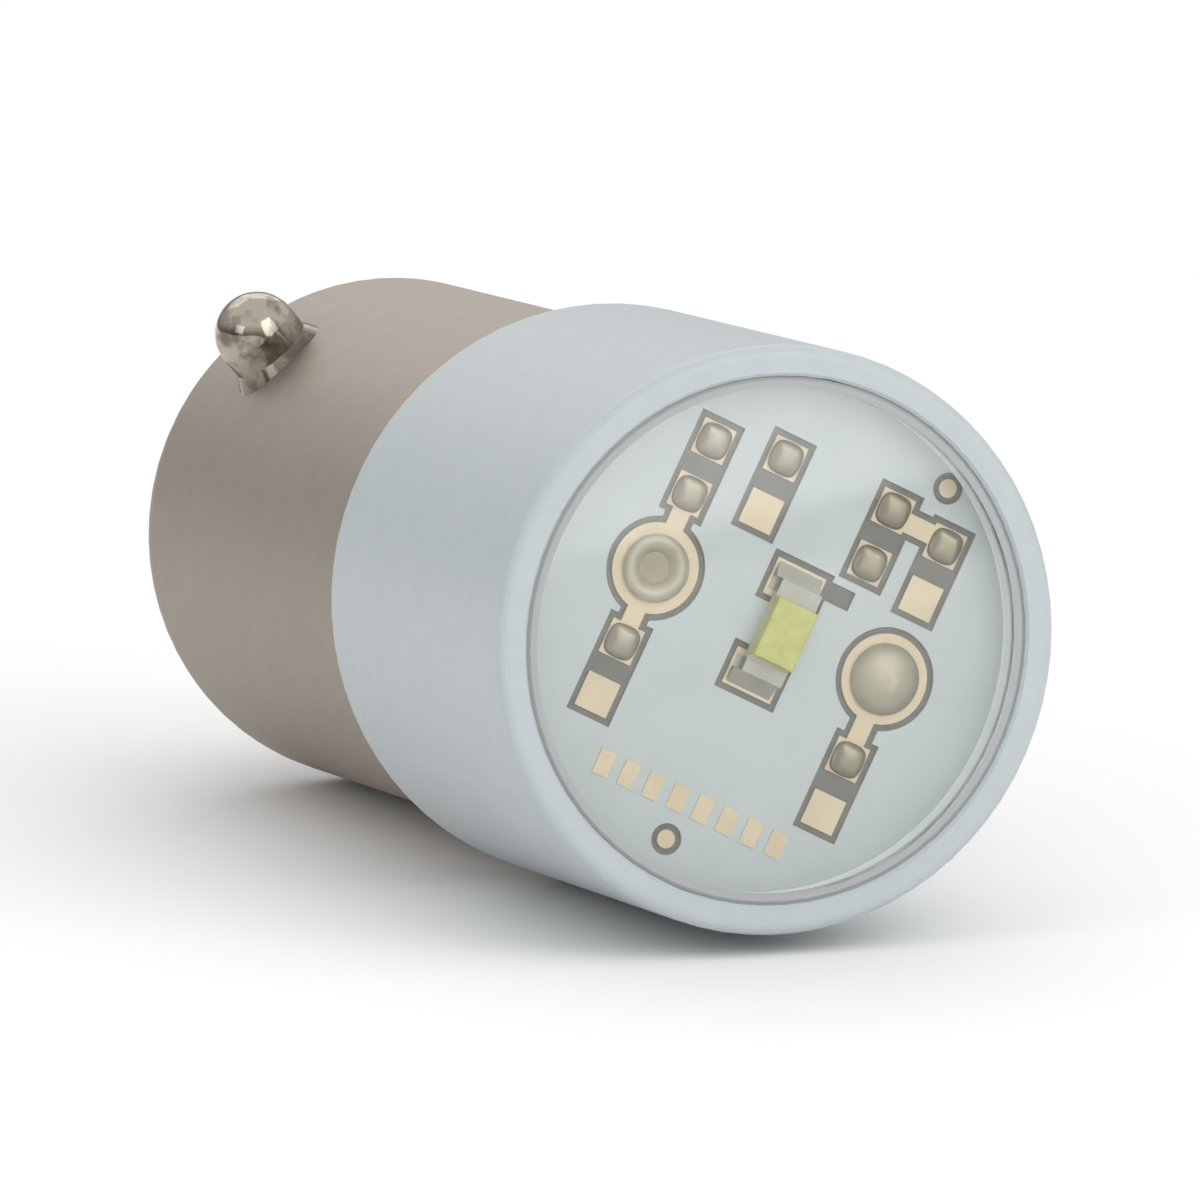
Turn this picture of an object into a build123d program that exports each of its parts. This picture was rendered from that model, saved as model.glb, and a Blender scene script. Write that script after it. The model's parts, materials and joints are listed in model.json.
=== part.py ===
from build123d import *

import os
from math import acos, asin, atan2, cos, degrees, hypot, radians, sin

# A small LED lamp with a miniature bayonet base, lying on its side as it comes to rest.
# Every piece is turned or laid out along the lamp's own axis, with z = 0 at the tip of the
# centre contact and +z towards the window. The finished lamp is then laid down on a level
# surface: it touches that surface with the rear edge of the sleeve, the rear edge of the
# shell and one bayonet pin. All sizes are in millimetres and all angles in degrees.

# Bayonet shell: drawn brass, nickel plated
SHELL_DIAMETER = 9.05
SHELL_WALL = 0.35
SHELL_REAR_Z = 2.8
SHELL_REAR_RADIUS = 0.9
SHELL_CORNER = 0.4
SHELL_MOUTH_DIAMETER = 6.2
SHELL_IN_SLEEVE = 3.0

# Bayonet pins: turned, set through the shell and riveted inside
PIN_Z = 6.1
PIN_DIAMETER = 1.5
PIN_HEIGHT = 1.29
PIN_EDGE_RADIUS = 0.74
PIN_FOOT_DIAMETER = 1.7
PIN_FOOT_HEIGHT = 0.16
PIN_SHANK_DIAMETER = 1.0
PIN_RIVET_DIAMETER = 2.2
PIN_RIVET_DEPTH = 0.45
PIN_HOLE_CLEARANCE = 0.01

# Insulator and centre contact
INSULATOR_NOSE_Z = 1.1
INSULATOR_NOSE_DIAMETER = 4.0
INSULATOR_DEPTH = 1.6
INSULATOR_CLEARANCE = 0.02
EYELET_FLANGE_DIAMETER = 3.5
EYELET_FLANGE = 0.3
EYELET_DIAMETER = 1.8
EYELET_WALL = 0.25
EYELET_COLLAR_DIAMETER = 2.6
EYELET_COLLAR = 0.25
CONTACT_SOLDER_DIAMETER = 3.0
CONTACT_TIP_DIAMETER = 1.3
CONTACT_SOLDER_FILL = 1.2

# Sleeve: moulded white plastic
LAMP_LENGTH = 23.6
SLEEVE_LENGTH = 8.7
SLEEVE_WALL = 0.465
SLEEVE_RIM = 0.51
SLEEVE_FIT = 0.01
SLEEVE_EDGE_RADIUS = 0.18
SLEEVE_EDGE_FACETS = 4
SLEEVE_REAR_CHAMFER = 0.1
SLEEVE_LIP_CHAMFER = 0.05

# Window: clear flat cap in the mouth of the sleeve, with a skirt that stands on the board
WINDOW_THICKNESS = 0.35
WINDOW_RECESS = 0.05
WINDOW_CLEARANCE = 0.015
WINDOW_CHAMFER = 0.06
WINDOW_SKIRT_WALL = 0.14
WINDOW_SKIRT_HEIGHT = 0.43

# Circuit board: dark laminate, white solder mask, gilt copper
BOARD_THICKNESS = 0.8
BOARD_CLEARANCE = 0.02
BOARD_SEAT_WIDTH = 0.35
BOARD_TURN = -67.3
MASK_THICKNESS = 0.05
COPPER_THICKNESS = 0.035

# Soldering pads, in pairs along the board's own y direction
PAD_SOLDER_INSET = 0.05
PAD_SOLDER_HEIGHT = 0.1
PAD_SOLDER_SLOPE = 0.09
TRACK_WIDTH = 0.34

# Plated holes for the two leads
LEAD_HOLE_DIAMETER = 1.16
PLATING = 0.05

# Row of plain copper bars along the lower edge of the board
BAR_COUNT = 8
BAR_PITCH = 0.49
BAR_WIDTH = 0.3
BAR_HEIGHT = 0.45
BAR_THICKNESS = 0.015

# Light-emitting diode, long side along the board's y direction
LED_LENGTH = 1.7
LED_WIDTH = 0.78
LED_BASE_HEIGHT = 0.16
LED_HEIGHT = 0.38
LED_PHOSPHOR_LENGTH = 1.08
LED_TERMINAL_LENGTH = 0.24
LED_PAD_LENGTH = 0.66
LED_PAD_WIDTH = 0.96
LED_PAD_OVERLAP = 0.35
LED_SOLDER_HEIGHT = 0.12
LED_EDGE = 0.04

# Leads from the board to the centre contact and to the shell
LEAD_DIAMETER = 0.6
LEAD_GAP = 0.08
LEAD_SOLDER_COVER = 0.1
CONTACT_LEAD_BEND_Z = 5.6
CONTACT_LEAD_SLANT = 3.0
CONTACT_LEAD_TAIL = 1.0
SHELL_LEAD_SUNK = 0.02
SHELL_LEAD_DROP = 0.9
SHELL_LEAD_SLANT = 3.8
SHELL_LEAD_TAIL = 1.6
SHELL_JOINT_DIAMETER = 1.3
SHELL_JOINT_LENGTH = 1.1
SHELL_JOINT_COVER = 0.2
RESISTOR_LENGTH = 6.5
RESISTOR_DIAMETER = 2.5
RESISTOR_EDGE = 0.3
HOLE_SOLDER_DOME = 0.14
HOLE_SOLDER_DISH = 0.2

# Driver pieces on the rear of the board
RECTIFIER_WIDTH = 2.6
RECTIFIER_LENGTH = 2.9
RECTIFIER_HEIGHT = 1.3
RECTIFIER_STANDOFF = 0.1
RECTIFIER_EDGE = 0.15
RECTIFIER_LEAD_X = 0.7
RECTIFIER_LEAD_WIDTH = 0.5
RECTIFIER_LEAD_THICKNESS = 0.16
RECTIFIER_LEAD_REACH = 0.55
CAPACITOR_LENGTH = 2.0
CAPACITOR_WIDTH = 1.0
CAPACITOR_HEIGHT = 0.8
CHIP_CAP_LENGTH = 0.3
REAR_PAD_MARGIN = 0.1

# Values that follow from the driving sizes
SHELL_R = SHELL_DIAMETER / 2
SHELL_BORE_R = SHELL_R - SHELL_WALL
SHELL_FLOOR_Z = SHELL_REAR_Z + SHELL_WALL
SHELL_MOUTH_R = SHELL_MOUTH_DIAMETER / 2
SLEEVE_SEAT_R = SHELL_R + SLEEVE_FIT
SLEEVE_R = SLEEVE_SEAT_R + SLEEVE_WALL
SLEEVE_REAR_Z = LAMP_LENGTH - SLEEVE_LENGTH
SHELL_FRONT_Z = SLEEVE_REAR_Z + SHELL_IN_SLEEVE
PIN_TIP_R = SHELL_R + PIN_HEIGHT
INSULATOR_TOP_Z = SHELL_FLOOR_Z + INSULATOR_DEPTH
EYELET_R = EYELET_DIAMETER / 2
EYELET_BORE_R = EYELET_R - EYELET_WALL
EYELET_REAR_Z = INSULATOR_NOSE_Z - EYELET_FLANGE
MOUTH_R = SLEEVE_R - SLEEVE_RIM
WINDOW_R = MOUTH_R - WINDOW_CLEARANCE
WINDOW_TOP_Z = LAMP_LENGTH - WINDOW_RECESS
WINDOW_REAR_Z = WINDOW_TOP_Z - WINDOW_THICKNESS
MASK_TOP_Z = WINDOW_REAR_Z - WINDOW_SKIRT_HEIGHT
BOARD_TOP_Z = MASK_TOP_Z - MASK_THICKNESS
BOARD_SEAT_Z = BOARD_TOP_Z - BOARD_THICKNESS
BOARD_R = MOUTH_R - BOARD_CLEARANCE
COPPER_TOP_Z = BOARD_TOP_Z + COPPER_THICKNESS
REAR_COPPER_Z = BOARD_SEAT_Z - COPPER_THICKNESS
LED_BASE_TOP_Z = MASK_TOP_Z + LED_BASE_HEIGHT
LEAD_R = LEAD_DIAMETER / 2
CONTACT_LEAD_STRAIGHT_Z = CONTACT_LEAD_BEND_Z + CONTACT_LEAD_SLANT
RESISTOR_LOW_Z = CONTACT_LEAD_STRAIGHT_Z + CONTACT_LEAD_TAIL
RESISTOR_HIGH_Z = RESISTOR_LOW_Z + RESISTOR_LENGTH
CONTACT_LEAD_END_Z = EYELET_REAR_Z + LEAD_SOLDER_COVER
SHELL_LEAD_BEND_Z = SHELL_FRONT_Z - SHELL_LEAD_DROP
SHELL_LEAD_JOINT_Z = SHELL_LEAD_BEND_Z - SHELL_LEAD_SLANT
SHELL_LEAD_END_Z = SHELL_LEAD_JOINT_Z - SHELL_LEAD_TAIL
LEAD_HOLE_R = LEAD_HOLE_DIAMETER / 2
LEAD_BARREL_R = LEAD_HOLE_R - PLATING

# Handles of a round corner, as a share of the way to its knee, so that it runs as a circle
ROUND_SHARE = 0.5523

# Layout of the board in its own x and y, as shares of its radius
PAD_WIDTH = 0.139 * BOARD_R
PAD_HEIGHT = 0.139 * BOARD_R
PAD_PITCH = 0.219 * BOARD_R
MASK_MARGIN = 0.025 * BOARD_R
LAND_R = 0.174 * BOARD_R
DOT_R = 0.036 * BOARD_R
LEFT_X = -0.512 * BOARD_R
INNER_LEFT_X = -0.219 * BOARD_R
INNER_RIGHT_X = 0.266 * BOARD_R
RIGHT_X = 0.517 * BOARD_R
TOP_LEFT_Y = 0.474 * BOARD_R
TOP_INNER_LEFT_Y = 0.534 * BOARD_R
TOP_INNER_RIGHT_Y = 0.536 * BOARD_R
TOP_RIGHT_Y = 0.500 * BOARD_R
LOW_LEFT_Y = -0.358 * BOARD_R
LOW_RIGHT_Y = -0.389 * BOARD_R
LAND_Y = 0.056 * BOARD_R
LED_X = 0.048 * BOARD_R
LED_Y = 0.040 * BOARD_R
LED_PAD_X = 0.029 * BOARD_R
BAR_ROW_X = 0.010 * BOARD_R
BAR_ROW_Y = -0.688 * BOARD_R
UPPER_DOT = (0.430 * BOARD_R, 0.812 * BOARD_R)
LOWER_DOT = (-0.018 * BOARD_R, -0.848 * BOARD_R)
RECTIFIER_Y = 0.123 * BOARD_R
CAPACITOR_Y = -0.581 * BOARD_R
LEFT_LAND = (LEFT_X, LAND_Y)
RIGHT_LAND = (RIGHT_X, LAND_Y)
DOTS = (UPPER_DOT, LOWER_DOT)
PAIRS = {
    "top_left": (LEFT_X, TOP_LEFT_Y),
    "low_left": (LEFT_X, LOW_LEFT_Y),
    "top_inner_left": (INNER_LEFT_X, TOP_INNER_LEFT_Y),
    "top_inner_right": (INNER_RIGHT_X, TOP_INNER_RIGHT_Y),
    "top_right": (RIGHT_X, TOP_RIGHT_Y),
    "low_right": (RIGHT_X, LOW_RIGHT_Y),
}
UPPER = 1
LOWER = -1
BARE_PADS = (
    ("low_left", LOWER),
    ("low_right", LOWER),
    ("top_right", LOWER),
    ("top_inner_left", LOWER),
)


def turned(points):
    """A solid of revolution about z from (radius, z) points."""
    outline = Polyline(*[(radius, 0, z) for radius, z in points], close=True)
    return revolve(make_face(outline), Axis.Z)


def turned_round(points, knee):
    """The same, with the last point joined to the first by a round corner towards the knee."""
    outline = Polyline(*[(radius, 0, z) for radius, z in points])
    start, end = outline @ 1, outline @ 0
    corner = Vector(knee[0], 0, knee[1])
    leave = start + (corner - start) * ROUND_SHARE
    arrive = end + (corner - end) * ROUND_SHARE
    return revolve(make_face([outline, Bezier(start, leave, arrive, end)]), Axis.Z)


def rings(shape, radius, z):
    """The circular edges of a turned shape at this radius and height."""
    near = 1e-4
    return [
        edge
        for edge in shape.edges().filter_by(GeomType.CIRCLE)
        if abs(edge.radius - radius) < near and abs(edge.arc_center.Z - z) < near
    ]


def disc(diameter, low, high):
    """A plain cylinder about z between two heights."""
    return Pos(0, 0, low) * extrude(Circle(diameter / 2), amount=high - low)


def block(x, y, low, size_x, size_y, high):
    """An upright block with its centre at x, y between two heights."""
    return Pos(x, y, low) * extrude(Rectangle(size_x, size_y), amount=high - low)


def on_board(shape):
    """Turns a shape from the board's layout to its place on the lamp's axis."""
    return Rot(0, 0, BOARD_TURN) * shape


# Base


def bayonet_shell():
    """The drawn cup: open at the front, with a mouth for the insulator at the rear."""
    shell = turned_round(
        [
            (SHELL_R, SHELL_REAR_Z + SHELL_REAR_RADIUS),
            (SHELL_R, SHELL_FRONT_Z),
            (SHELL_BORE_R, SHELL_FRONT_Z),
            (SHELL_BORE_R, SHELL_FLOOR_Z),
            (SHELL_MOUTH_R, SHELL_FLOOR_Z),
            (SHELL_MOUTH_R, SHELL_REAR_Z),
            (SHELL_R - SHELL_REAR_RADIUS, SHELL_REAR_Z),
        ],
        knee=(SHELL_R, SHELL_REAR_Z),
    )
    shell = chamfer(rings(shell, SHELL_BORE_R, SHELL_FLOOR_Z), SHELL_CORNER)
    hole = Pos(0, 0, PIN_Z) * Rot(90, 0, 0) * Cylinder(
        PIN_SHANK_DIAMETER / 2 + PIN_HOLE_CLEARANCE, SHELL_DIAMETER + 2 * PIN_HEIGHT
    )
    return shell - hole


def bayonet_pin():
    """The pin on the +y side: flared foot on the shell, shank through it, riveted inside."""
    side_r = PIN_DIAMETER / 2
    flare = (PIN_FOOT_DIAMETER - PIN_DIAMETER) / 2
    root_r = side_r + flare * (PIN_FOOT_HEIGHT + SHELL_WALL) / PIN_FOOT_HEIGHT
    head = turned(
        [
            (0, SHELL_BORE_R),
            (root_r, SHELL_BORE_R),
            (side_r, SHELL_R + PIN_FOOT_HEIGHT),
            (side_r, PIN_TIP_R),
            (0, PIN_TIP_R),
        ]
    )
    head = fillet(rings(head, side_r, PIN_TIP_R), PIN_EDGE_RADIUS)
    rivet_low = SHELL_BORE_R - PIN_RIVET_DEPTH
    rivet = disc(PIN_RIVET_DIAMETER, rivet_low, SHELL_R)
    shank = disc(PIN_SHANK_DIAMETER, rivet_low, SHELL_R + PIN_HEIGHT / 2)
    outside = Rot(90, 0, 0) * Cylinder(SHELL_R, 2 * PIN_RIVET_DIAMETER)
    inside = Rot(90, 0, 0) * Cylinder(SHELL_BORE_R, 2 * PIN_RIVET_DIAMETER)
    pin = (head - outside) + (rivet & inside) + shank
    return Pos(0, 0, PIN_Z) * Rot(-90, 0, 0) * pin


def base_insulator():
    """The moulded insulator that closes the shell and carries the centre contact."""
    flange_r = SHELL_BORE_R - INSULATOR_CLEARANCE
    nose_root_r = SHELL_MOUTH_R - INSULATOR_CLEARANCE
    bore_r = EYELET_R + INSULATOR_CLEARANCE
    body = turned(
        [
            (bore_r, INSULATOR_NOSE_Z),
            (INSULATOR_NOSE_DIAMETER / 2, INSULATOR_NOSE_Z),
            (nose_root_r, SHELL_REAR_Z),
            (nose_root_r, SHELL_FLOOR_Z),
            (flange_r, SHELL_FLOOR_Z),
            (flange_r, INSULATOR_TOP_Z),
            (bore_r, INSULATOR_TOP_Z),
        ]
    )
    return chamfer(rings(body, flange_r, SHELL_FLOOR_Z), SHELL_CORNER)


def contact_eyelet():
    """The tubular rivet through the insulator, flanged outside and rolled over inside."""
    flange_r = EYELET_FLANGE_DIAMETER / 2
    collar_r = EYELET_COLLAR_DIAMETER / 2
    collar_z = INSULATOR_TOP_Z + EYELET_COLLAR
    eyelet = turned(
        [
            (EYELET_BORE_R, EYELET_REAR_Z),
            (flange_r, EYELET_REAR_Z),
            (flange_r, INSULATOR_NOSE_Z),
            (EYELET_R, INSULATOR_NOSE_Z),
            (EYELET_R, INSULATOR_TOP_Z),
            (collar_r, INSULATOR_TOP_Z),
            (collar_r, collar_z),
            (EYELET_BORE_R, collar_z),
        ]
    )
    eyelet = chamfer(rings(eyelet, flange_r, EYELET_REAR_Z), EYELET_FLANGE / 2)
    return chamfer(rings(eyelet, collar_r, collar_z), EYELET_COLLAR / 2)


def contact_solder():
    """The solder button on the eyelet: it fills the eyelet's bore and grips the lead."""
    base_r = CONTACT_SOLDER_DIAMETER / 2
    fill_z = EYELET_REAR_Z + CONTACT_SOLDER_FILL
    button = turned_round(
        [
            (base_r, EYELET_REAR_Z),
            (EYELET_BORE_R, EYELET_REAR_Z),
            (EYELET_BORE_R, fill_z),
            (0, fill_z),
            (0, 0),
            (CONTACT_TIP_DIAMETER / 2, 0),
        ],
        knee=(base_r, 0),
    )
    return button - disc(LEAD_DIAMETER, CONTACT_LEAD_END_Z, 2 * fill_z)


# Sleeve and window


def sleeve():
    """The tube that joins the shell, the board and the window."""
    throat_r = MOUTH_R - BOARD_SEAT_WIDTH
    edge_r = SLEEVE_R - SLEEVE_EDGE_RADIUS
    edge_z = LAMP_LENGTH - SLEEVE_EDGE_RADIUS
    steps = [radians(90 * n / SLEEVE_EDGE_FACETS) for n in range(SLEEVE_EDGE_FACETS + 1)]
    edge = [
        (edge_r + SLEEVE_EDGE_RADIUS * cos(step), edge_z + SLEEVE_EDGE_RADIUS * sin(step))
        for step in steps
    ]
    tube = turned(
        [
            (SLEEVE_SEAT_R, SLEEVE_REAR_Z),
            (SLEEVE_R, SLEEVE_REAR_Z),
            *edge,
            (MOUTH_R, LAMP_LENGTH),
            (MOUTH_R, BOARD_SEAT_Z),
            (throat_r, BOARD_SEAT_Z),
            (throat_r, SHELL_FRONT_Z),
            (SLEEVE_SEAT_R, SHELL_FRONT_Z),
        ]
    )
    tube = chamfer(rings(tube, SLEEVE_R, SLEEVE_REAR_Z), SLEEVE_REAR_CHAMFER)
    return chamfer(rings(tube, MOUTH_R, LAMP_LENGTH), SLEEVE_LIP_CHAMFER)


def window():
    """The clear cap; its bevelled edge and the sleeve's bevelled lip leave a fine groove."""
    skirt_r = WINDOW_R - WINDOW_SKIRT_WALL
    cap = turned(
        [
            (0, WINDOW_REAR_Z),
            (skirt_r, WINDOW_REAR_Z),
            (skirt_r, MASK_TOP_Z),
            (WINDOW_R, MASK_TOP_Z),
            (WINDOW_R, WINDOW_TOP_Z),
            (0, WINDOW_TOP_Z),
        ]
    )
    return chamfer(rings(cap, WINDOW_R, WINDOW_TOP_Z), WINDOW_CHAMFER)


# Front of the board


def pad_centre(pair, end):
    """Centre of the upper or lower pad of a pair."""
    x, y = PAIRS[pair]
    return x, y + end * PAD_PITCH / 2


def led_pad_centre(end):
    """Centre of the pad under the upper or lower end of the diode."""
    reach = LED_LENGTH / 2 + LED_PAD_LENGTH / 2 - LED_PAD_OVERLAP
    return LED_PAD_X, LED_Y + end * reach


def tracks():
    """Straight tracks as pairs of points: lands to the pads of their column, and two pads."""
    return [
        (LEFT_LAND, pad_centre("top_left", LOWER)),
        (LEFT_LAND, pad_centre("low_left", UPPER)),
        (RIGHT_LAND, pad_centre("low_right", UPPER)),
        (pad_centre("top_inner_right", UPPER), pad_centre("top_right", UPPER)),
    ]


def bar_between(start, end, width):
    """A bar along x or y from one point to the other."""
    run_x = abs(start[0] - end[0])
    run_y = abs(start[1] - end[1])
    middle = Pos((start[0] + end[0]) / 2, (start[1] + end[1]) / 2)
    if run_x > run_y:
        return middle * Rectangle(run_x, width)
    return middle * Rectangle(width, run_y)


def circuit_board():
    """The round laminate with its drilled holes."""
    sheet = Circle(BOARD_R)
    for x, y in (LEFT_LAND, RIGHT_LAND):
        sheet -= Pos(x, y) * Circle(LEAD_HOLE_R)
    return on_board(Pos(0, 0, BOARD_SEAT_Z) * extrude(sheet, amount=BOARD_THICKNESS))


def front_outlines(margin):
    """Outlines of all front copper, each grown by the margin."""
    grow = 2 * margin
    outlines = [bar_between(start, end, TRACK_WIDTH + grow) for start, end in tracks()]
    for pair in PAIRS:
        for end in (UPPER, LOWER):
            x, y = pad_centre(pair, end)
            outlines.append(Pos(x, y) * Rectangle(PAD_WIDTH + grow, PAD_HEIGHT + grow))
    for end in (UPPER, LOWER):
        x, y = led_pad_centre(end)
        outlines.append(Pos(x, y) * Rectangle(LED_PAD_WIDTH + grow, LED_PAD_LENGTH + grow))
    for x, y in (LEFT_LAND, RIGHT_LAND):
        outlines.append(Pos(x, y) * Circle(LAND_R + margin))
    for x, y in DOTS:
        outlines.append(Pos(x, y) * Circle(DOT_R + margin))
    return outlines


def front_solder_mask():
    """The white mask, open round all copper, between the pads of a pair and beside the diode."""
    openings = front_outlines(MASK_MARGIN)
    for pair in PAIRS:
        width = PAD_WIDTH + 2 * MASK_MARGIN
        openings.append(bar_between(pad_centre(pair, UPPER), pad_centre(pair, LOWER), width))
    diode_pad = led_pad_centre(UPPER)
    near_pad = (INNER_RIGHT_X, diode_pad[1])
    openings.append(Pos(0, LED_PAD_LENGTH / 4) * bar_between(diode_pad, near_pad, TRACK_WIDTH))
    film = Circle(BOARD_R) - openings
    return on_board(Pos(0, 0, BOARD_TOP_Z) * extrude(film, amount=MASK_THICKNESS))


def front_lands():
    """The gilt pads, lands and tracks, with the plating of the two lead holes."""
    face = Pos(0, 0, BOARD_TOP_Z) * extrude(Sketch() + front_outlines(0), amount=COPPER_THICKNESS)
    for centre in (LEFT_LAND, RIGHT_LAND):
        face += Pos(*centre, 0) * disc(LEAD_HOLE_DIAMETER, BOARD_SEAT_Z, COPPER_TOP_Z)
        face -= Pos(*centre, 0) * disc(2 * LEAD_BARREL_R, BOARD_SEAT_Z, COPPER_TOP_Z)
    return on_board(face)


def copper_bars():
    """A row of plain bars on the mask, evenly spaced."""
    first = BAR_ROW_X - (BAR_COUNT - 1) * BAR_PITCH / 2
    top = MASK_TOP_Z + BAR_THICKNESS
    bars = [
        block(first + n * BAR_PITCH, BAR_ROW_Y, MASK_TOP_Z, BAR_WIDTH, BAR_HEIGHT, top)
        for n in range(BAR_COUNT)
    ]
    return on_board(Compound(bars))


def pad_solder():
    """Tinned pads: a low pillow of solder on each pad that isn't left bare."""
    pillows = []
    for pair in PAIRS:
        for end in (UPPER, LOWER):
            if (pair, end) in BARE_PADS:
                continue
            x, y = pad_centre(pair, end)
            width = PAD_WIDTH - 2 * PAD_SOLDER_INSET
            height = PAD_HEIGHT - 2 * PAD_SOLDER_INSET
            top = COPPER_TOP_Z + PAD_SOLDER_HEIGHT
            pillow = block(x, y, COPPER_TOP_Z, width, height, top)
            pillow = chamfer(pillow.edges().filter_by(Axis.Z), PAD_SOLDER_SLOPE)
            crown = pillow.faces().sort_by(Axis.Z)[-1]
            pillows.append(chamfer(crown.edges(), PAD_SOLDER_SLOPE))
    return on_board(Compound(pillows))


# Diode


def led_base():
    """The diode's carrier, on the mask between its two terminals."""
    length = LED_LENGTH - 2 * LED_TERMINAL_LENGTH
    return on_board(block(LED_X, LED_Y, MASK_TOP_Z, LED_WIDTH, length, LED_BASE_TOP_Z))


def led_terminals():
    """The two plated ends of the diode's carrier."""
    reach = (LED_LENGTH - LED_TERMINAL_LENGTH) / 2
    ends = [
        block(LED_X, LED_Y + end * reach, MASK_TOP_Z, LED_WIDTH, LED_TERMINAL_LENGTH, LED_BASE_TOP_Z)
        for end in (UPPER, LOWER)
    ]
    return on_board(Compound(ends))


def led_phosphor():
    """The yellow block over the chip."""
    top = MASK_TOP_Z + LED_HEIGHT
    cap = block(LED_X, LED_Y, LED_BASE_TOP_Z, LED_WIDTH, LED_PHOSPHOR_LENGTH, top)
    return on_board(fillet(cap.faces().sort_by(Axis.Z)[-1].edges(), LED_EDGE))


def led_solder():
    """The solder under each terminal, drawn out to a wedge on its pad."""
    start = LED_LENGTH / 2
    reach = start + LED_PAD_LENGTH - LED_PAD_OVERLAP - PAD_SOLDER_INSET
    side = Polyline(
        (0, start - LED_TERMINAL_LENGTH, COPPER_TOP_Z),
        (0, reach, COPPER_TOP_Z),
        (0, start, MASK_TOP_Z + LED_SOLDER_HEIGHT),
        (0, start, MASK_TOP_Z),
        (0, start - LED_TERMINAL_LENGTH, MASK_TOP_Z),
        close=True,
    )
    width = LED_PAD_WIDTH - 2 * PAD_SOLDER_INSET
    wedge = Pos(-width / 2, 0, 0) * extrude(make_face(side), amount=width, dir=(1, 0, 0))
    middle = Pos(LED_PAD_X, LED_Y, 0)
    return on_board(Compound([middle * wedge, middle * Rot(0, 0, 180) * wedge]))


# Leads


def wire(points):
    """Round wire along straight runs, bent sharply where they meet."""
    path = Polyline(*points)
    section = Plane(origin=path @ 0, z_dir=path % 0) * Circle(LEAD_R)
    return sweep(section, path=path, transition=Transition.RIGHT)


def lead_point(land, z):
    """A point on the axis of a land's hole, in the lamp's frame."""
    x, y = land
    turn = radians(BOARD_TURN)
    return (x * cos(turn) - y * sin(turn), x * sin(turn) + y * cos(turn), z)


def contact_lead():
    """From the solder button up the axis, then across to the lower end of the resistor."""
    return wire(
        [
            (0, 0, CONTACT_LEAD_END_Z),
            (0, 0, CONTACT_LEAD_BEND_Z),
            lead_point(RIGHT_LAND, CONTACT_LEAD_STRAIGHT_Z),
            lead_point(RIGHT_LAND, RESISTOR_LOW_Z),
        ]
    )


def series_resistor():
    """The dropping resistor beside the axis, rounded off at both ends."""
    x, y, _ = lead_point(RIGHT_LAND, 0)
    body = disc(RESISTOR_DIAMETER, RESISTOR_LOW_Z, RESISTOR_HIGH_Z)
    return Pos(x, y, 0) * chamfer(body.edges().filter_by(GeomType.CIRCLE), RESISTOR_EDGE)


def board_lead():
    """The straight lead from the upper end of the resistor into the right-hand hole."""
    x, y, _ = lead_point(RIGHT_LAND, 0)
    return Pos(x, y, 0) * disc(LEAD_DIAMETER, RESISTOR_HIGH_Z, BOARD_TOP_Z)


def shell_lead_line():
    """The route from the left-hand hole down to the wall of the shell."""
    x, y, _ = lead_point(LEFT_LAND, 0)
    grow = (SHELL_BORE_R - LEAD_R - LEAD_GAP) / hypot(x, y)
    return [
        (x, y, BOARD_TOP_Z - SHELL_LEAD_SUNK),
        (x, y, SHELL_LEAD_BEND_Z),
        (x * grow, y * grow, SHELL_LEAD_JOINT_Z),
        (x * grow, y * grow, SHELL_LEAD_END_Z),
    ]


def shell_lead():
    """From the left-hand hole down and out to the wall of the shell."""
    return wire(shell_lead_line())


def shell_lead_joint():
    """The solder bead that holds the end of the lead to the wall of the shell."""
    x, y, low = shell_lead_line()[-1]
    bead = Pos(x, y, 0) * disc(SHELL_JOINT_DIAMETER, low - SHELL_JOINT_COVER, low + SHELL_JOINT_LENGTH)
    bore = disc(2 * SHELL_BORE_R, low - SHELL_JOINT_COVER, low + SHELL_JOINT_LENGTH)
    return (bead & bore) - shell_lead()


def hole_solder(land, lead, rise):
    """Solder round a lead in its plated hole, domed up or dished down by the rise."""
    x, y, _ = lead_point(land, 0)
    edge = LEAD_BARREL_R
    ball_r = (edge**2 + rise**2) / (2 * abs(rise))
    plug = disc(2 * edge, BOARD_SEAT_Z, COPPER_TOP_Z)
    if rise > 0:
        ball = Pos(0, 0, COPPER_TOP_Z + rise - ball_r) * Sphere(ball_r)
        plug += ball & disc(2 * edge, COPPER_TOP_Z - rise, COPPER_TOP_Z + 2 * rise)
    else:
        plug -= Pos(0, 0, COPPER_TOP_Z + rise + ball_r) * Sphere(ball_r)
    return Pos(x, y, 0) * plug - lead


# Rear of the board


def rectifier_body():
    """The moulded bridge rectifier, hung under the board."""
    high = REAR_COPPER_Z - RECTIFIER_STANDOFF
    body = block(0, RECTIFIER_Y, high - RECTIFIER_HEIGHT, RECTIFIER_WIDTH, RECTIFIER_LENGTH, high)
    return on_board(chamfer(body.faces().sort_by(Axis.Z)[0].edges(), RECTIFIER_EDGE))


def rectifier_corners():
    """Sign of x and y for each of the rectifier's four leads."""
    return [(side, end) for side in (1, -1) for end in (UPPER, LOWER)]


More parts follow.
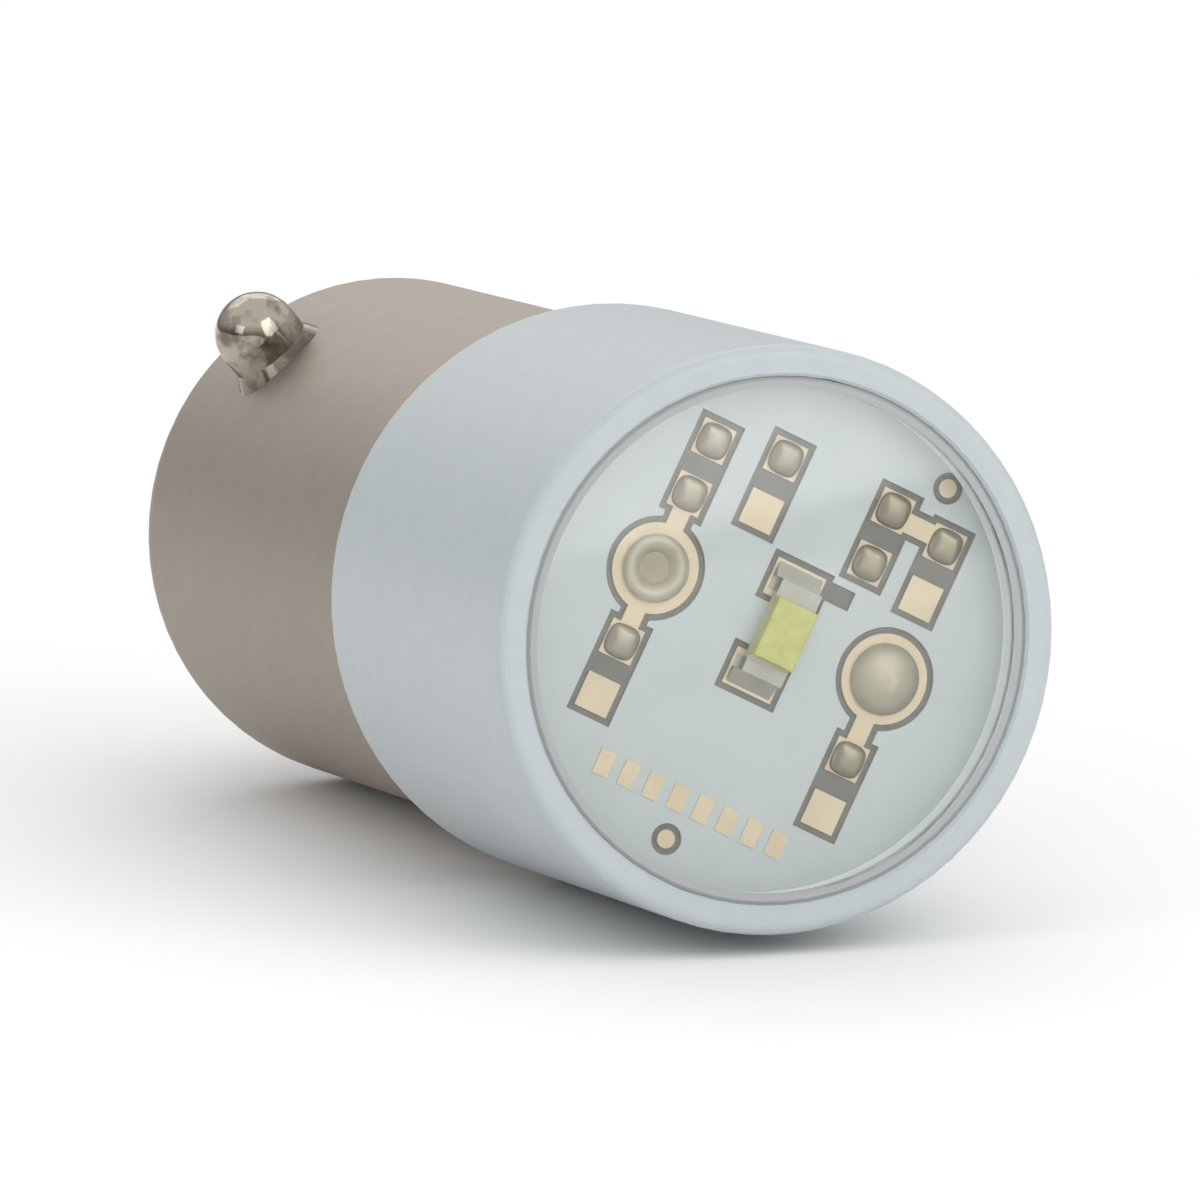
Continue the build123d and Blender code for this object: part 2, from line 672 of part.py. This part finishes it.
def rectifier_leads():
    """Four bent leads from the ends of the rectifier up to their pads."""
    high = REAR_COPPER_Z - RECTIFIER_STANDOFF
    exit_z = high - RECTIFIER_HEIGHT / 2
    start = RECTIFIER_LENGTH / 2
    thick = RECTIFIER_LEAD_THICKNESS
    side = Polyline(
        (0, start, exit_z),
        (0, start + 2 * thick, exit_z),
        (0, start + 2 * thick, REAR_COPPER_Z - thick),
        (0, start + RECTIFIER_LEAD_REACH, REAR_COPPER_Z - thick),
        (0, start + RECTIFIER_LEAD_REACH, REAR_COPPER_Z),
        (0, start + thick, REAR_COPPER_Z),
        (0, start + thick, exit_z + thick),
        (0, start, exit_z + thick),
        close=True,
    )
    strip = extrude(make_face(side), amount=RECTIFIER_LEAD_WIDTH, dir=(1, 0, 0))
    strip = Pos(-RECTIFIER_LEAD_WIDTH / 2, 0, 0) * strip
    leads = []
    for x_side, end in rectifier_corners():
        turn = 0 if end > 0 else 180
        leads.append(Pos(x_side * RECTIFIER_LEAD_X, RECTIFIER_Y, 0) * Rot(0, 0, turn) * strip)
    return on_board(Compound(leads))


def chip(length, width, height):
    """A chip body along y between its end caps, under the board, and the pair of caps."""
    low = REAR_COPPER_Z - height
    body = block(0, 0, low, width, length - 2 * CHIP_CAP_LENGTH, REAR_COPPER_Z)
    reach = (length - CHIP_CAP_LENGTH) / 2
    caps = [
        block(0, end * reach, low, width, CHIP_CAP_LENGTH, REAR_COPPER_Z)
        for end in (UPPER, LOWER)
    ]
    return body, caps


def capacitor_place():
    """Place of the capacitor, across the lower edge of the board."""
    return Pos(0, CAPACITOR_Y, 0) * Rot(0, 0, 90)


def chip_pads(place, length, width):
    """The two rear pads under a chip's end caps."""
    reach = (length - CHIP_CAP_LENGTH) / 2
    size_x = width + REAR_PAD_MARGIN
    size_y = CHIP_CAP_LENGTH + REAR_PAD_MARGIN
    return [
        place * block(0, end * reach, REAR_COPPER_Z, size_x, size_y, BOARD_SEAT_Z)
        for end in (UPPER, LOWER)
    ]


def rear_pads():
    """Copper pads under the pieces on the rear of the board."""
    pads = chip_pads(capacitor_place(), CAPACITOR_LENGTH, CAPACITOR_WIDTH)
    foot = RECTIFIER_LEAD_REACH - RECTIFIER_LEAD_THICKNESS
    reach = RECTIFIER_LENGTH / 2 + RECTIFIER_LEAD_REACH - foot / 2
    size_x = RECTIFIER_LEAD_WIDTH + REAR_PAD_MARGIN
    size_y = foot + REAR_PAD_MARGIN
    for side, end in rectifier_corners():
        x, y = side * RECTIFIER_LEAD_X, RECTIFIER_Y + end * reach
        pads.append(block(x, y, REAR_COPPER_Z, size_x, size_y, BOARD_SEAT_Z))
    return on_board(Compound(pads))


# Rest on a level surface


def rest_angles():
    """Pitch of the lamp on its two rear edges, and its roll until the lower pin touches."""
    sleeve_z = SLEEVE_REAR_Z + SLEEVE_REAR_CHAMFER
    shell_z = SHELL_REAR_Z + SHELL_REAR_RADIUS
    shell_r = SHELL_R - SHELL_REAR_RADIUS
    run = hypot(sleeve_z - shell_z, SLEEVE_R - shell_r)
    slope = atan2(SLEEVE_R - shell_r, sleeve_z - shell_z)
    pitch = slope - asin(SHELL_REAR_RADIUS / run)
    axis_height = SLEEVE_R * cos(pitch) - sleeve_z * sin(pitch)
    pin_height = axis_height + PIN_Z * sin(pitch) - PIN_EDGE_RADIUS
    edge_out = PIN_TIP_R - PIN_EDGE_RADIUS
    edge_side = PIN_DIAMETER / 2 - PIN_EDGE_RADIUS
    lean = atan2(edge_side, edge_out) + acos(pin_height / hypot(edge_side, edge_out))
    return pitch, acos(cos(lean) / cos(pitch))


def rest_place():
    """Where the lamp's axis lies when it rests, window towards -y and a pin up at the left."""
    pitch, roll = rest_angles()
    front = Vector(0, -cos(pitch), sin(pitch))
    upright = Vector(0, sin(pitch), cos(pitch))
    x_dir = Vector(1, 0, 0) * cos(roll) + upright * sin(roll)
    return Plane(origin=(0, 0, 0), x_dir=x_dir, z_dir=front).location


def build():
    """Every piece by name, on the lamp's own axis."""
    pin = bayonet_pin()
    to_board = board_lead()
    to_shell = shell_lead()
    capacitor, capacitor_caps = chip(CAPACITOR_LENGTH, CAPACITOR_WIDTH, CAPACITOR_HEIGHT)
    return {
        "bayonet_shell": bayonet_shell(),
        "bayonet_pin_upper": pin,
        "bayonet_pin_lower": Rot(0, 0, 180) * pin,
        "base_insulator": base_insulator(),
        "contact_eyelet": contact_eyelet(),
        "contact_solder": contact_solder(),
        "sleeve": sleeve(),
        "window": window(),
        "circuit_board": circuit_board(),
        "front_solder_mask": front_solder_mask(),
        "front_lands": front_lands(),
        "copper_bars": copper_bars(),
        "pad_solder": pad_solder(),
        "led_base": led_base(),
        "led_terminals": led_terminals(),
        "led_phosphor": led_phosphor(),
        "led_solder": led_solder(),
        "contact_lead": contact_lead(),
        "series_resistor": series_resistor(),
        "board_lead": to_board,
        "board_lead_solder": hole_solder(RIGHT_LAND, to_board, HOLE_SOLDER_DOME),
        "shell_lead": to_shell,
        "shell_lead_solder": hole_solder(LEFT_LAND, to_shell, -HOLE_SOLDER_DISH),
        "shell_lead_joint": shell_lead_joint(),
        "rectifier_body": rectifier_body(),
        "rectifier_leads": rectifier_leads(),
        "rear_pads": rear_pads(),
        "capacitor_body": on_board(capacitor_place() * capacitor),
        "capacitor_caps": on_board(capacitor_place() * Compound(capacitor_caps)),
    }


def placed():
    """Every piece by name, laid down with the middle of the lamp over the origin."""
    rest = rest_place()
    pieces = {name: rest * shape for name, shape in build().items()}
    box = Compound(list(pieces.values())).bounding_box()
    ground = Pos(-box.center().X, -box.center().Y, -box.min.Z)
    return {name: ground * shape for name, shape in pieces.items()}, ground * rest


def main():
    os.makedirs("parts", exist_ok=True)
    pieces, place = placed()
    for name, shape in pieces.items():
        export_step(shape, f"parts/{name}.step")
    pitch, roll = rest_angles()
    print(f"pitch {degrees(pitch):.3f}, roll {degrees(roll):.3f}, contact tip at {place.position}")


if __name__ == "__main__":
    main()
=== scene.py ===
import json
from math import cos, pi, radians, sin

import bmesh
import bpy
from mathutils import Matrix, Quaternion, Vector

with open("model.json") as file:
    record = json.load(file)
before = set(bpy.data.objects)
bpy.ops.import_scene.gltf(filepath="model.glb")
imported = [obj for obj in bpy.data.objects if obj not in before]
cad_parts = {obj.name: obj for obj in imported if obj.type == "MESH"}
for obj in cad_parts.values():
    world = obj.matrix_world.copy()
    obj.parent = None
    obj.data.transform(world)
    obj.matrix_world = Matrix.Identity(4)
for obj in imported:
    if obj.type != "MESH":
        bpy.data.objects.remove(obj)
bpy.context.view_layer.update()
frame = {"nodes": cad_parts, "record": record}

nodes = frame["nodes"]
mounts = {mount["name"]: mount for mount in frame["record"]["mounts"]}

MM = 0.001
WHITE = (1, 1, 1, 1)

# The lamp's axis, from the tip of the contact to the window
TIP = Vector(mounts["centre_contact"]["pos_m"])
LAMP_AXIS = -Vector(mounts["centre_contact"]["axis"])
WINDOW_FROM_TIP = 23.52 * MM
WINDOW_MIDDLE = TIP + LAMP_AXIS * WINDOW_FROM_TIP

# Distances from the lamp's axis
WINDOW_RIM_R = 4.3 * MM
PIN_FOOT_R = 4.5 * MM
PIN_HEAD_R = 5.2 * MM

# Grain of the surfaces: their noise, and the broader clouds of colour, so many grains across
NOISE_DETAIL = 3.0
NOISE_ROUGHNESS = 0.55
CLOUD_DETAIL = 4.0
CLOUD_GRAINS = 12

# Painted dark reflections and painted shade of the pins: patch size, noise from dark to unshaded,
# least unshaded share, colours and surface
PIN_PAINTED_PATCH = 0.45 * MM
PIN_PAINTED_PATCH_RANGE = (0.4, 0.56)
PIN_LEAST_UNSHADED_SHARE = 0.3
PIN_PAINTED_SHADE_COLOUR = (0.085, 0.072, 0.054)
PIN_BRIGHT = (0.43, 0.38, 0.315)
PIN_ROUGHNESS = (0.07, 0.16)
PIN_DEPTH = 0.006 * MM

# Window: size of its haze, the plastic, the light that it lets through, and the frosted rim with
# painted light on its walls and painted shade on its ring
WINDOW_HAZE = 0.9 * MM
WINDOW_ROUGHNESS = (0.015, 0.05)
WINDOW_TINTS = ((0.955, 0.972, 0.965), (0.98, 0.985, 0.98))
WINDOW_IOR = 1.49
WINDOW_PASSING = (0.96, 0.975, 0.97, 1)
RIM_WALL_PAINTED_LIGHT = (0.81, 0.83, 0.825)
RIM_RING_PAINTED_SHADE = (0.42, 0.435, 0.43)
RIM_ROUGHNESS = (0.0, 0.3)

# Solder: how far it flows out on the pads and on the two round lands, and how its facets are rounded
PAD_SPREAD = 0.045 * MM
LAND_SPREAD = 0.1 * MM
WELD_DISTANCE = 0.0005 * MM
FACET_ANGLE = radians(1)
ROUNDING_LEVELS = 3

# View of the photograph: where the window's middle lies in front of the camera, and angles in degrees
PHOTO_SIZE_PX = 1200
FOCAL_PX = 15940
SENSOR_MM = 36.0
CAMERA_AZIMUTH = -19.96
CAMERA_ELEVATION = 8.64
WINDOW_RIGHT = 2.977 * MM
WINDOW_DOWN = 0.688 * MM
WINDOW_AWAY = 268.4 * MM
CLIP_START = 10 * MM
CLIP_END = 20.0

# Surroundings: brightness at the horizon and of the sky, and how high up the sky begins
HORIZON_LEVEL = 0.16
SKY_LEVEL = 1.0
SKY_RISE = 0.5

# Floor: half its width in metres, its colour, and how dim and how broad its darker clouds are
FLOOR_HALF = 2.0
FLOOR_COLOUR = (0.93, 0.93, 0.93)
FLOOR_DIM = 0.985
FLOOR_CLOUD = 40 * MM
FLOOR_ROUGHNESS = 0.9

# Card that the window mirrors: its lower edge hovers over the floor and slopes like its reflection
CARD_DISTANCE = 97 * MM
CARD_SIZE = (80 * MM, 120 * MM)
CARD_RADIANCE = 1.68
CARD_LIFT = 0.8 * MM
CARD_ROLL = radians(11)

# Side and rear lamps, both aimed at the window's middle
SIDE_PLACE = (-230 * MM, -80 * MM, 75 * MM)
SIDE_SIZE = (110 * MM, 90 * MM)
SIDE_RADIANCE = 1.2
REAR_PLACE = (40 * MM, 300 * MM, 260 * MM)
REAR_SIZE = (460 * MM, 240 * MM)
REAR_RADIANCE = 0.72


# Node helpers


def new_material(name):
    """A material with its tree and its Principled shader."""
    material = bpy.data.materials.new(name)
    material.use_nodes = True
    tree = material.node_tree
    return material, tree, tree.nodes["Principled BSDF"]


def put(tree, kind, settings=None, **values):
    """A new node with the given properties and input values."""
    node = tree.nodes.new(kind)
    for key, value in (settings or {}).items():
        setattr(node, key, value)
    for key, value in values.items():
        node.inputs[key.replace("_", " ")].default_value = value
    return node


def object_place(tree):
    """The place on the object in metres."""
    return put(tree, "ShaderNodeTexCoord").outputs["Object"]


def noise(tree, place, grain, detail=NOISE_DETAIL):
    """Noise whose grains are about this many metres across."""
    node = put(tree, "ShaderNodeTexNoise", Scale=1 / grain, Detail=detail, Roughness=NOISE_ROUGHNESS)
    tree.links.new(place, node.inputs["Vector"])
    return node.outputs["Fac"]


def blend_colours(tree, factor, low, high, start=0.3, end=0.7):
    """A colour that goes from low to high as the factor goes from start to end."""
    ramp = put(tree, "ShaderNodeValToRGB")
    ramp.color_ramp.elements[0].position = start
    ramp.color_ramp.elements[1].position = end
    ramp.color_ramp.elements[0].color = (*low, 1)
    ramp.color_ramp.elements[1].color = (*high, 1)
    tree.links.new(factor, ramp.inputs["Fac"])
    return ramp.outputs["Color"]


def blend_values(tree, factor, low, high, start=0.0, end=1.0):
    """A number that goes from low to high as the factor goes from start to end."""
    node = put(tree, "ShaderNodeMapRange", From_Min=start, From_Max=end, To_Min=low, To_Max=high)
    tree.links.new(factor, node.inputs["Value"])
    return node.outputs["Result"]


def mix_shaders(tree, share, first, second):
    """The first shader where the share is 0, the second where it is 1."""
    mix = put(tree, "ShaderNodeMixShader")
    tree.links.new(share, mix.inputs["Fac"])
    tree.links.new(first, mix.inputs[1])
    tree.links.new(second, mix.inputs[2])
    return mix.outputs["Shader"]


def bump(tree, shader, height, depth):
    """Raises the shader's surface by the height times the depth in metres."""
    node = put(tree, "ShaderNodeBump", Strength=1.0, Distance=depth)
    tree.links.new(height, node.inputs["Height"])
    tree.links.new(node.outputs["Normal"], shader.inputs["Normal"])


def facing_front(tree):
    """1 on faces across the lamp's axis, 0 on walls along it."""
    surface = put(tree, "ShaderNodeNewGeometry")
    lean = put(tree, "ShaderNodeVectorMath", {"operation": "DOT_PRODUCT"})
    lean.inputs[1].default_value = LAMP_AXIS
    tree.links.new(surface.outputs["True Normal"], lean.inputs[0])
    size = put(tree, "ShaderNodeMath", {"operation": "ABSOLUTE"})
    tree.links.new(lean.outputs["Value"], size.inputs[0])
    return size.outputs["Value"]


def axis_distance(tree):
    """Distance from the lamp's axis in metres."""
    surface = put(tree, "ShaderNodeNewGeometry")
    from_tip = put(tree, "ShaderNodeVectorMath", {"operation": "SUBTRACT"})
    from_tip.inputs[1].default_value = TIP
    tree.links.new(surface.outputs["Position"], from_tip.inputs[0])
    arm = put(tree, "ShaderNodeVectorMath", {"operation": "CROSS_PRODUCT"})
    arm.inputs[1].default_value = LAMP_AXIS
    tree.links.new(from_tip.outputs["Vector"], arm.inputs[0])
    reach = put(tree, "ShaderNodeVectorMath", {"operation": "LENGTH"})
    tree.links.new(arm.outputs["Vector"], reach.inputs[0])
    return reach.outputs["Value"]


def beyond_radius(tree, radius):
    """1 farther than the radius from the lamp's axis, 0 nearer."""
    beyond = put(tree, "ShaderNodeMath", {"operation": "GREATER_THAN"})
    beyond.inputs[1].default_value = radius
    tree.links.new(axis_distance(tree), beyond.inputs[0])
    return beyond.outputs["Value"]


def light_passing(tree):
    """1 for shadow and diffuse rays, which carry light, 0 for rays that show the surface."""
    path = put(tree, "ShaderNodeLightPath")
    either = put(tree, "ShaderNodeMath", {"operation": "MAXIMUM"})
    tree.links.new(path.outputs["Is Shadow Ray"], either.inputs[0])
    tree.links.new(path.outputs["Is Diffuse Ray"], either.inputs[1])
    return either.outputs["Value"]


def worked_surface(name, low, high, grain, rough, depth, metallic=0.0):
    """A surface whose colour, roughness and height vary over grains of this size."""
    material, tree, shader = new_material(name)
    place = object_place(tree)
    cloud = noise(tree, place, CLOUD_GRAINS * grain, CLOUD_DETAIL)
    fine = noise(tree, place, grain)
    tree.links.new(blend_colours(tree, cloud, low, high), shader.inputs["Base Color"])
    tree.links.new(blend_values(tree, fine, *rough), shader.inputs["Roughness"])
    shader.inputs["Metallic"].default_value = metallic
    bump(tree, shader, fine, depth)
    return material


# Materials


def nickel_shell():
    """Satin nickel plating."""
    return worked_surface(
        "nickel_shell", low=(0.375, 0.332, 0.287), high=(0.395, 0.352, 0.307),
        grain=0.04 * MM, rough=(0.54, 0.6), depth=0.0008 * MM, metallic=1.0,
    )


def nickel_pin():
    """Bright nickel plating, with painted dark reflections in patches and painted shade darkest round
    the foot.
    """
    material, tree, shader = new_material("nickel_pin")
    patches = noise(tree, object_place(tree), PIN_PAINTED_PATCH)
    # Painted dark reflections in patches, and painted shade that darkens the pin towards its foot
    painted_reflection_share = blend_values(tree, patches, PIN_LEAST_UNSHADED_SHARE, 1.0, *PIN_PAINTED_PATCH_RANGE)
    painted_foot_shade_share = blend_values(tree, axis_distance(tree), PIN_LEAST_UNSHADED_SHARE, 1.0, PIN_FOOT_R, PIN_HEAD_R)
    unshaded_share = put(tree, "ShaderNodeMath", {"operation": "MULTIPLY"})
    tree.links.new(painted_reflection_share, unshaded_share.inputs[0])
    tree.links.new(painted_foot_shade_share, unshaded_share.inputs[1])
    colour = blend_colours(tree, unshaded_share.outputs["Value"], PIN_PAINTED_SHADE_COLOUR, PIN_BRIGHT, start=0.0, end=1.0)
    tree.links.new(colour, shader.inputs["Base Color"])
    tree.links.new(blend_values(tree, patches, *PIN_ROUGHNESS), shader.inputs["Roughness"])
    shader.inputs["Metallic"].default_value = 1.0
    bump(tree, shader, patches, PIN_DEPTH)
    return material


def insulator():
    """Glossy black moulding."""
    return worked_surface(
        "insulator", low=(0.018, 0.018, 0.02), high=(0.035, 0.034, 0.034),
        grain=0.08 * MM, rough=(0.2, 0.34), depth=0.002 * MM,
    )


def contact_brass():
    """Bright brass eyelet."""
    return worked_surface(
        "contact_brass", low=(0.55, 0.45, 0.27), high=(0.68, 0.57, 0.36),
        grain=0.06 * MM, rough=(0.22, 0.34), depth=0.001 * MM, metallic=1.0,
    )


def sleeve_plastic():
    """Bluish white moulded plastic, semi-matte."""
    return worked_surface(
        "sleeve_plastic", low=(0.452, 0.497, 0.514), high=(0.476, 0.520, 0.537),
        grain=0.04 * MM, rough=(0.36, 0.46), depth=0.0008 * MM,
    )


def clear_plastic(tree, shader, haze):
    """Polished clear plastic, a little uneven with the haze."""
    tree.links.new(blend_values(tree, haze, *WINDOW_ROUGHNESS), shader.inputs["Roughness"])
    tree.links.new(blend_colours(tree, haze, *WINDOW_TINTS), shader.inputs["Base Color"])
    shader.inputs["Transmission Weight"].default_value = 1.0
    shader.inputs["IOR"].default_value = WINDOW_IOR
    return shader.outputs["BSDF"]


def frosted_plastic(tree, haze):
    """Matte rim of the window, pale on its walls as painted light and greyer on its flat ring as
    painted shade.
    """
    frosted = put(tree, "ShaderNodeBsdfDiffuse")
    # Painted light makes the walls pale, and painted shade makes the flat ring grey
    colour = blend_colours(tree, facing_front(tree), RIM_WALL_PAINTED_LIGHT, RIM_RING_PAINTED_SHADE)
    tree.links.new(colour, frosted.inputs["Color"])
    tree.links.new(blend_values(tree, haze, *RIM_ROUGHNESS), frosted.inputs["Roughness"])
    return frosted.outputs["BSDF"]


def window_clear():
    """Clear plastic with a frosted rim, through which the lamps light the board."""
    material, tree, shader = new_material("window_clear")
    haze = noise(tree, object_place(tree), WINDOW_HAZE)
    face = clear_plastic(tree, shader, haze)
    rim = frosted_plastic(tree, haze)
    seen = mix_shaders(tree, beyond_radius(tree, WINDOW_RIM_R), face, rim)
    passing = put(tree, "ShaderNodeBsdfTransparent", Color=WINDOW_PASSING)
    surface = mix_shaders(tree, light_passing(tree), seen, passing.outputs["BSDF"])
    tree.links.new(surface, tree.nodes["Material Output"].inputs["Surface"])
    return material


def laminate():
    """Dark resin laminate."""
    return worked_surface(
        "laminate", low=(0.105, 0.10, 0.082), high=(0.16, 0.153, 0.13),
        grain=0.05 * MM, rough=(0.4, 0.55), depth=0.002 * MM,
    )


def solder_mask():
    """White mask, slightly uneven over the laminate."""
    return worked_surface(
        "solder_mask", low=(0.455, 0.487, 0.487), high=(0.486, 0.518, 0.516),
        grain=0.12 * MM, rough=(0.45, 0.52), depth=0.0002 * MM,
    )


def gilt_copper():
    """Thin gilding over copper."""
    return worked_surface(
        "gilt_copper", low=(0.54, 0.435, 0.292), high=(0.635, 0.525, 0.365),
        grain=0.06 * MM, rough=(0.38, 0.52), depth=0.002 * MM, metallic=0.35,
    )


def solder():
    """Dulled solder, with the flow marks it cools with."""
    return worked_surface(
        "solder", low=(0.255, 0.225, 0.158), high=(0.345, 0.31, 0.232),
        grain=0.09 * MM, rough=(0.3, 0.46), depth=0.006 * MM, metallic=1.0,
    )


def pale_solder():
    """Dull pale solder in the two round lands."""
    return worked_surface(
        "pale_solder", low=(0.37, 0.33, 0.24), high=(0.45, 0.405, 0.305),
        grain=0.09 * MM, rough=(0.36, 0.5), depth=0.004 * MM, metallic=0.4,
    )


def tinned_metal():
    """Dull tinned wire and caps."""
    return worked_surface(
        "tinned_metal", low=(0.24, 0.213, 0.145), high=(0.31, 0.28, 0.2),
        grain=0.05 * MM, rough=(0.38, 0.52), depth=0.002 * MM, metallic=1.0,
    )


def led_tin():
    """Pale tin on the diode's terminals and joints."""
    return worked_surface(
        "led_tin", low=(0.33, 0.315, 0.275), high=(0.40, 0.385, 0.34),
        grain=0.05 * MM, rough=(0.42, 0.55), depth=0.003 * MM, metallic=1.0,
    )


def led_carrier():
    """Carrier of the diode: its own pale tone, dimmed to a greenish grey as painted shade along the
    diode's edges.
    """
    return worked_surface(
        "led_carrier", low=(0.42, 0.43, 0.29), high=(0.48, 0.49, 0.35),
        grain=0.04 * MM, rough=(0.4, 0.5), depth=0.001 * MM,
    )


def led_yellow():
    """Phosphor grains in clear resin."""
    return worked_surface(
        "led_yellow", low=(0.41, 0.397, 0.088), high=(0.505, 0.49, 0.155),
        grain=0.02 * MM, rough=(0.3, 0.42), depth=0.002 * MM,
    )


def black_epoxy():
    """Moulded black epoxy."""
    return worked_surface(
        "black_epoxy", low=(0.02, 0.02, 0.022), high=(0.04, 0.04, 0.042),
        grain=0.05 * MM, rough=(0.5, 0.65), depth=0.003 * MM,
    )


def resistor_ceramic():
    """Pale lacquer over the resistor's ceramic."""
    return worked_surface(
        "resistor_ceramic", low=(0.22, 0.36, 0.4), high=(0.3, 0.45, 0.48),
        grain=0.08 * MM, rough=(0.3, 0.42), depth=0.003 * MM,
    )


def capacitor_ceramic():
    """Fired ceramic."""
    return worked_surface(
        "capacitor_ceramic", low=(0.3, 0.2, 0.12), high=(0.38, 0.27, 0.17),
        grain=0.05 * MM, rough=(0.4, 0.55), depth=0.002 * MM,
    )


MATERIALS = (
    nickel_shell, nickel_pin, insulator, contact_brass, sleeve_plastic, window_clear, laminate,
    solder_mask, gilt_copper, solder, pale_solder, tinned_metal, led_tin, led_carrier, led_yellow,
    black_epoxy, resistor_ceramic, capacitor_ceramic,
)

# Nodes with a paler finish than the rest of their slot
FINISHES = {
    "led_terminals": "led_tin", "led_solder": "led_tin",
    "shell_lead_solder": "pale_solder", "board_lead_solder": "pale_solder",
}


def paint_nodes():
    """Gives every carried-over node the material of its slot, or its own finish."""
    made = {make.__name__: make() for make in MATERIALS}
    for part in frame["record"]["subparts"]:
        slots = nodes[part["node"]].data.materials
        slots.clear()
        slots.append(made[FINISHES.get(part["node"], part["material_slot"])])


# Solder


def weld(node):
    """Joins the corners that neighbouring faces share."""
    joined = node.modifiers.new("weld", "WELD")
    joined.merge_threshold = WELD_DISTANCE


def round_off(node):
    """Rounds off the flat facets of a welded node."""
    flat = node.modifiers.new("flat", "DECIMATE")
    flat.decimate_type = "DISSOLVE"
    flat.angle_limit = FACET_ANGLE
    smooth = node.modifiers.new("round", "SUBSURF")
    smooth.levels = ROUNDING_LEVELS
    smooth.render_levels = ROUNDING_LEVELS


def spread(node, reach):
    """Lets a welded node flow out a little farther."""
    swell = node.modifiers.new("spread", "DISPLACE")
    swell.mid_level = 0.0
    swell.strength = reach


def flow_solder():
    """Rounds the solder on the pads, and spreads it there and on the two round lands."""
    pads = nodes["pad_solder"]
    weld(pads)
    round_off(pads)
    spread(pads, PAD_SPREAD)
    for land in (nodes["shell_lead_solder"], nodes["board_lead_solder"]):
        weld(land)
        spread(land, LAND_SPREAD)


# Stage


def studio_world():
    """Soft surroundings, dim at the horizon and bright above."""
    world = bpy.data.worlds.new("studio")
    bpy.context.scene.world = world
    world.use_nodes = True
    tree = world.node_tree
    direction = put(tree, "ShaderNodeTexCoord")
    parts = put(tree, "ShaderNodeSeparateXYZ")
    tree.links.new(direction.outputs["Generated"], parts.inputs["Vector"])
    level = blend_values(tree, parts.outputs["Z"], HORIZON_LEVEL, SKY_LEVEL, end=SKY_RISE)
    background = tree.nodes["Background"]
    tree.links.new(level, background.inputs["Strength"])
    background.inputs["Color"].default_value = WHITE


def pale_floor():
    """A matte white floor that keeps the lamp's shadow."""
    mesh = bpy.data.meshes.new("floor")
    shape = bmesh.new()
    bmesh.ops.create_grid(shape, x_segments=1, y_segments=1, size=FLOOR_HALF)
    shape.to_mesh(mesh)
    shape.free()
    floor = bpy.data.objects.new("floor", mesh)
    bpy.context.scene.collection.objects.link(floor)
    material, tree, shader = new_material("floor")
    cloud = noise(tree, object_place(tree), FLOOR_CLOUD)
    dim = tuple(FLOOR_DIM * value for value in FLOOR_COLOUR)
    tree.links.new(blend_colours(tree, cloud, dim, FLOOR_COLOUR), shader.inputs["Base Color"])
    shader.inputs["Roughness"].default_value = FLOOR_ROUGHNESS
    shader.inputs["Specular IOR Level"].default_value = 0.0
    mesh.materials.append(material)


def camera_axes():
    """The camera's right, down and away directions."""
    azimuth = radians(CAMERA_AZIMUTH)
    elevation = radians(CAMERA_ELEVATION)
    right = Vector((cos(azimuth), sin(azimuth), 0))
    away = Vector((-sin(azimuth) * cos(elevation), cos(azimuth) * cos(elevation), -sin(elevation)))
    return right, away.cross(right), away


def soft_lamp(name, place, target, size, radiance, roll=0.0):
    """A rectangular soft lamp of this radiance, aimed at the target and rolled about its aim."""
    width, height = size
    data = bpy.data.lights.new(name, "AREA")
    data.shape = "RECTANGLE"
    data.size = width
    data.size_y = height
    data.energy = radiance * pi * width * height
    lamp = bpy.data.objects.new(name, data)
    lamp.location = place
    lamp.rotation_mode = "QUATERNION"
    lamp.rotation_quaternion = (target - place).to_track_quat("-Z", "Y") @ Quaternion((0, 0, 1), roll)
    lamp.visible_camera = False
    bpy.context.scene.collection.objects.link(lamp)


def mirrored_card():
    """A low upright card where the window mirrors it into the camera."""
    _, _, away = camera_axes()
    mirrored = away - LAMP_AXIS * (2 * LAMP_AXIS.dot(away))
    level = Vector((mirrored.x, mirrored.y, 0)).normalized()
    foot = Vector((WINDOW_MIDDLE.x, WINDOW_MIDDLE.y, 0)) + level * CARD_DISTANCE
    half_height = CARD_SIZE[1] / 2 / cos(CARD_ROLL)
    middle = foot + Vector((0, 0, CARD_LIFT + half_height))
    soft_lamp("card", middle, middle - level, CARD_SIZE, CARD_RADIANCE, CARD_ROLL)


def light_scene():
    """The card in front at the right, a side lamp and a rear lamp."""
    mirrored_card()
    soft_lamp("side", Vector(SIDE_PLACE), WINDOW_MIDDLE, SIDE_SIZE, SIDE_RADIANCE)
    soft_lamp("rear", Vector(REAR_PLACE), WINDOW_MIDDLE, REAR_SIZE, REAR_RADIANCE)


def photo_camera():
    """The camera of the photograph, placed from where the window's middle is seen."""
    right, down, away = camera_axes()
    data = bpy.data.cameras.new("camera")
    data.sensor_width = SENSOR_MM
    data.lens = SENSOR_MM * FOCAL_PX / PHOTO_SIZE_PX
    data.clip_start = CLIP_START
    data.clip_end = CLIP_END
    camera = bpy.data.objects.new("camera", data)
    place = WINDOW_MIDDLE - right * WINDOW_RIGHT - down * WINDOW_DOWN - away * WINDOW_AWAY
    axes = Matrix((right, -down, -away)).transposed()
    camera.matrix_world = Matrix.Translation(place) @ axes.to_4x4()
    bpy.context.scene.collection.objects.link(camera)
    bpy.context.scene.camera = camera


bpy.context.scene.view_settings.view_transform = "Standard"
paint_nodes()
flow_solder()
studio_world()
pale_floor()
light_scene()
photo_camera()
